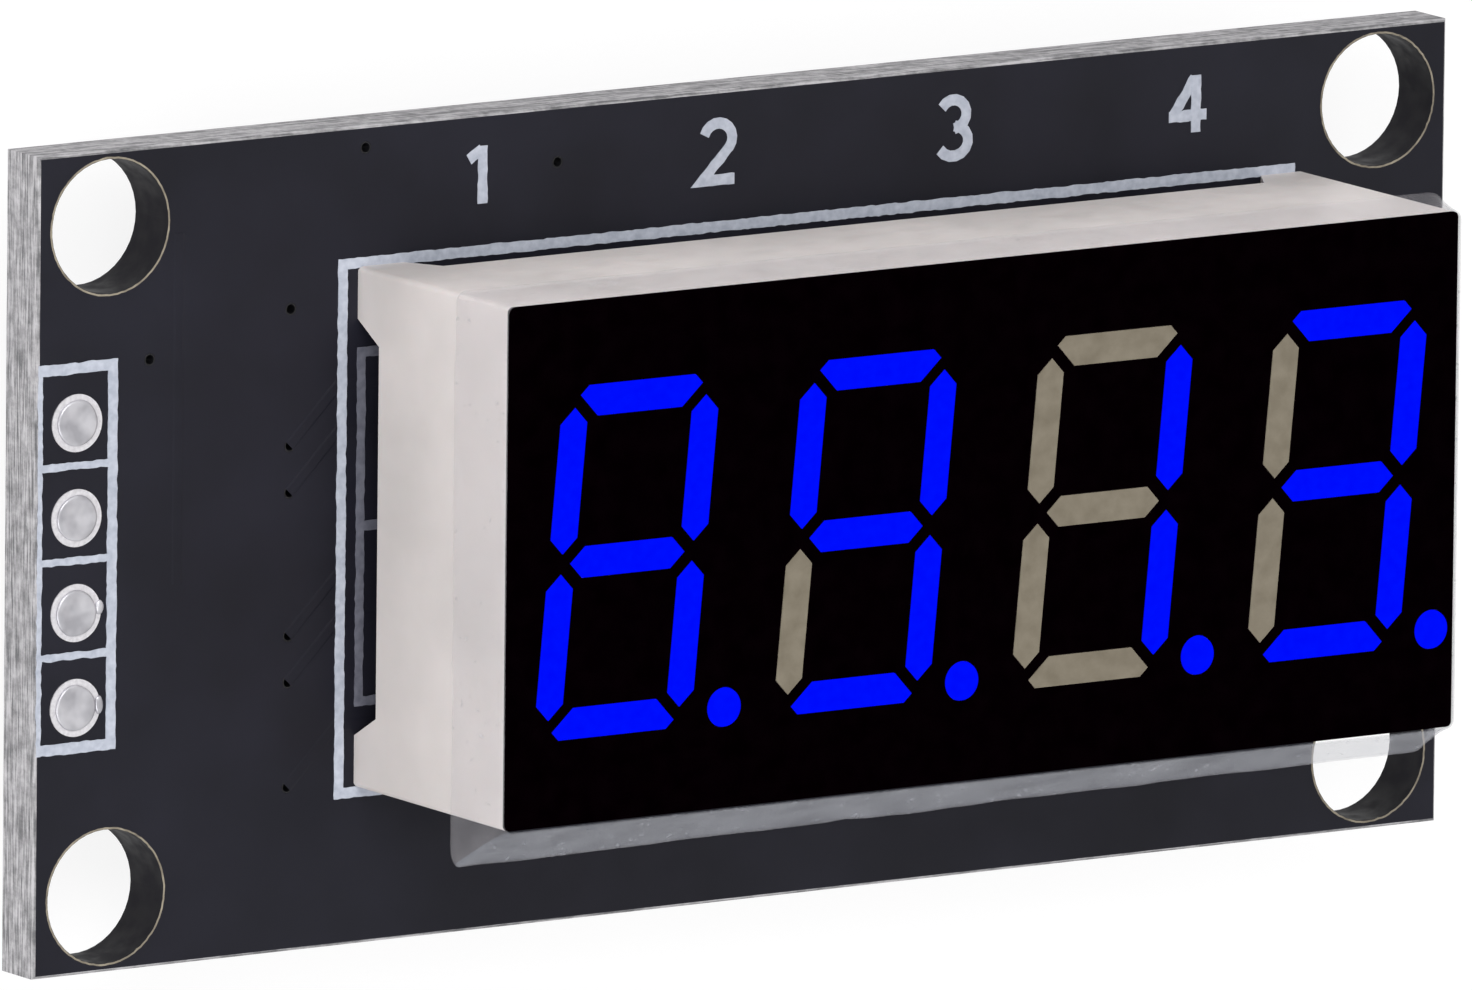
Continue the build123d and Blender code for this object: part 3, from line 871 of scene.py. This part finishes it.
# %% Film materials
def vinyl(name, veil, rough, tone, spots):
    """Clear film; veil is how much of what is behind it is hidden."""
    material, shader = surface(name, IOR=1.5, Roughness=rough)
    shader.inputs["Specular IOR Level"].default_value = 0.2
    haze = mottle(material, 1.3, detail=4.0, roughness=0.6, seed=20.0)
    paint(material, shader, haze, [(0.35, tone[0]), (0.65, tone[1])])
    dust = mottle(material, 0.25, detail=1.0, seed=21.0)
    specks = spread(material, dust, "Fac", 0.0, spots, 0.7, 0.76)
    base = spread(material, haze, "Fac", veil * 0.9, min(1.0, veil * 1.1))
    total = node(material, "Math", {"operation": "ADD", "use_clamp": True},
                 i0=(base, "Result"), i1=(specks, "Result"))
    join(material, total, "Value", shader, "Alpha")
    relief(material, shader, haze, "Fac", 0.02, 0.5)
    return material


film_flat = vinyl("vinyl_film_laid_flat", 0.0, 0.3, ("#cfd0d6", "#e6e6ea"), 0.0)
# The margins' pale veils: the glue side's real scatter, and partly painted sheen for light caught at a
# glancing angle and from behind.
film_loose_haze_and_sheen = vinyl("vinyl_film_folded_margin_haze_and_sheen", 0.26, 0.4, ("#a8aab3", "#b8bac3"), 0.25)
# The cut edge is painted near white: a painted highlight along the film's rim.
film_edge_painted_highlight = vinyl("vinyl_film_cut_edge_painted_highlight", 0.55, 0.4, ("#d4d4da", "#f4f4f8"), 0.1)
# Partly painted sheen as well, more faintly, where the margin clings.
film_clinging_haze_and_sheen = vinyl("vinyl_film_clinging_margin_haze_and_sheen", 0.1, 0.3, ("#c9c6cb", "#dbd8dd"), 0.14)


# %% Film sheet
film_thick = 0.04 * MM
film_plane = face_high[2] + 0.03 * MM
skirt_depth = film_plane - film_low[2]
skirt_rows = 10
corner_radius = 0.25 * MM


def film_outline(count):
    """Points round the face's rim, and the box they go round."""
    left, right = face_low[0] - 0.03 * MM, face_high[0] + 0.03 * MM
    low, high = face_low[1] - 0.03 * MM, face_high[1] + 0.03 * MM
    corners = [(right - corner_radius, high - corner_radius, 0),
               (left + corner_radius, high - corner_radius, 90),
               (left + corner_radius, low + corner_radius, 180),
               (right - corner_radius, low + corner_radius, 270)]
    points = []
    for i, (x, y, start) in enumerate(corners):
        for k in range(7):
            a = math.radians(start + 15 * k)
            points.append((x + corner_radius * math.cos(a), y + corner_radius * math.sin(a)))
        nx, ny, _ = corners[(i + 1) % 4]
        a = math.radians(start + 90)
        x0, y0 = x + corner_radius * math.cos(a), y + corner_radius * math.sin(a)
        x1, y1 = nx + corner_radius * math.cos(a), ny + corner_radius * math.sin(a)
        for k in range(1, count):
            points.append((x0 + (x1 - x0) * k / count, y0 + (y1 - y0) * k / count))
    return points, (left, right, low, high)


def film_push(x, y, depth, box):
    """How far a point of the margin stands out in X and Y, at this share of the margin's depth."""
    left, right, low, high = box
    wide, tall = right - left, high - low
    at_right = max(0.0, 1 - (right - x) / (1.2 * MM))
    at_low = max(0.0, 1 - (y - low) / (1.2 * MM))
    along = (y - low) / tall
    belly = math.sin(math.pi * min(1, max(0, 1.35 * (0.85 - along))))
    bulge = 1.12 + 0.2 * belly - 0.25 * max(0, 0.12 - along) / 0.12
    swell = 1.3 - 0.2 * (x - left) / wide
    ripple = noise.noise(Vector((x / MM * 0.5, y / MM * 0.5, 2.0)))
    fold = depth ** 1.15
    return (at_right * (bulge + 0.16 * ripple) * fold * MM,
            -at_low * (swell + 0.05 * ripple) * fold * MM)


def film_sheet():
    points, box = film_outline(44)
    mesh = bmesh.new()
    rows = []
    for j in range(skirt_rows + 1):
        depth = j / skirt_rows
        row = []
        for x, y in points:
            dx, dy = film_push(x, y, depth, box)
            crease = 0.03 * noise.noise(Vector((x / MM * 1.4, y / MM * 1.4, depth * 2))) * depth
            ragged_cut = abs(noise.noise(Vector((x / MM * 0.6, y / MM * 0.6, 5))))
            drop = skirt_depth * depth * (1 - 0.03 * ragged_cut)
            outward = Vector((x - (box[0] + box[1]) / 2, y - (box[2] + box[3]) / 2, 0)).normalized()
            row.append(mesh.verts.new((x + dx + outward.x * crease * MM,
                                       y + dy + outward.y * crease * MM, film_plane - drop)))
        rows.append(row)
    count = len(points)
    for j in range(skirt_rows):
        for i in range(count):
            k = (i + 1) % count
            x, y = points[i]
            clings = x - box[0] < 0.1 * MM or box[3] - y < 0.1 * MM
            face = mesh.faces.new((rows[j][i], rows[j + 1][i], rows[j + 1][k], rows[j][k]))
            face.material_index = 3 if clings else 1
    front = mesh.faces.new(rows[0])
    front.material_index = 0
    bmesh.ops.recalc_face_normals(mesh, faces=mesh.faces)
    piece = placed("protective_film_sheet", mesh, film_flat, film_loose_haze_and_sheen, film_edge_painted_highlight, film_clinging_haze_and_sheen)
    thick = piece.modifiers.new("thickness", "SOLIDIFY")
    thick.thickness = film_thick
    thick.offset = 1.0
    # The rim faces take the cut edge's painted highlight.
    thick.material_offset_rim = 2
    for polygon in piece.data.polygons:
        polygon.use_smooth = polygon.material_index != 0
    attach(piece, "root")
    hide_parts("protective_film")
    print("film margin", round(skirt_depth / MM, 2), "mm deep")


film_sheet()

# %% [markdown]
# ## The table and the light
# The module lies on a pale table. The table is a large slightly uneven sheet that keeps the
# module's shadow, but is mostly its own white to the camera. Two large soft lamps and a pale
# sky light the module evenly, the way a light tent does.


# %% Table
table_glow = 0.8
table_half_width = 3.0


def table_top():
    material, shader = surface("paper_white_table", IOR=1.45, Roughness=0.9)
    shader.inputs["Base Color"].default_value = linear("#fbfafb")
    shader.inputs["Specular IOR Level"].default_value = 0.1
    fibre = mottle(material, 3.0, seed=31.0)
    relief(material, shader, fibre, "Fac", 0.02, 0.2)
    rays = node(material, "LightPath")
    either = {"operation": "MAXIMUM"}
    seen = node(material, "Math", either, i0=(rays, "Is Camera Ray"), i1=(rays, "Is Glossy Ray"))
    any_seen = node(material, "Math", either, i0=(seen, "Value"), i1=(rays, "Is Transmission Ray"))
    share = node(material, "Math", {"operation": "MULTIPLY", 1: table_glow}, i0=(any_seen, "Value"))
    glow = node(material, "Emission", {"Color": (1, 1, 1, 1), "Strength": 1.06})
    mix = node(material, "MixShader", Fac=(share, "Value"), i1=(shader, "BSDF"), i2=(glow, "Emission"))
    out = material.node_tree.nodes["Material Output"]
    material.node_tree.links.new(mix.outputs["Shader"], out.inputs["Surface"])
    mesh = bmesh.new()
    bmesh.ops.create_grid(mesh, x_segments=8, y_segments=8, size=table_half_width)
    table = placed("table", mesh, material)


table_top()


# %% Light
def soft_lamp(name, place, size, power):
    light = bpy.data.lights.new(name, "AREA")
    light.shape = "DISK"
    light.size = size
    light.energy = power
    lamp = bpy.data.objects.new(name, light)
    lamp.location = place
    towards = Vector((0, 0, board_front)) - Vector(place)
    lamp.rotation_euler = towards.to_track_quat("-Z", "Y").to_euler()
    bpy.context.scene.collection.objects.link(lamp)


world = bpy.data.worlds.new("light_tent")
bpy.context.scene.world = world
world.use_nodes = True
world.node_tree.nodes["Background"].inputs["Color"].default_value = (1, 1, 1, 1)
world.node_tree.nodes["Background"].inputs["Strength"].default_value = 0.75
soft_lamp("key_lamp", (-0.2, 0.32, 0.4), 0.35, 1.2)
soft_lamp("fill_lamp", (-0.45, -0.2, 0.25), 0.4, 1.1)

# %% [markdown]
# ## The camera
# A long lens far away keeps the board's edges almost parallel. The camera stands to the left of
# the module and a little above its middle, as if the module stood upright, so that the digits
# read upright in the picture.

# %% Camera
camera_data = bpy.data.cameras.new("camera")
camera = bpy.data.objects.new("camera", camera_data)
bpy.context.scene.collection.objects.link(camera)
bpy.context.scene.camera = camera
camera_offset_mm = (-501.5, 164.5, 760.7)
aim_offset_mm = (-0.37, 0.01, 0)
roll_degrees = 0.62

target = Vector((0, 0, board_front))
camera_place = target + Vector(camera_offset_mm) * MM
aim_point = target + Vector(aim_offset_mm) * MM
back_axis = (camera_place - aim_point).normalized()
side_axis = Vector((0, 1, 0)).cross(back_axis).normalized()
up_axis = back_axis.cross(side_axis)
roll = math.radians(roll_degrees)
side = side_axis * math.cos(roll) + up_axis * math.sin(roll)
upward = back_axis.cross(side)
pose = [[side[i], upward[i], back_axis[i], camera_place[i]] for i in range(3)] + [[0, 0, 0, 1]]
camera.matrix_world = Matrix(pose)
camera_data.sensor_width = 36.0
camera_data.lens = 849.7
camera_data.clip_start = 0.05
camera_data.clip_end = 20.0
print("camera", round((camera_place - aim_point).length, 3), "m away, lens", camera_data.lens, "mm")

# %% Picture settings
bpy.context.scene.view_settings.view_transform = "Standard"
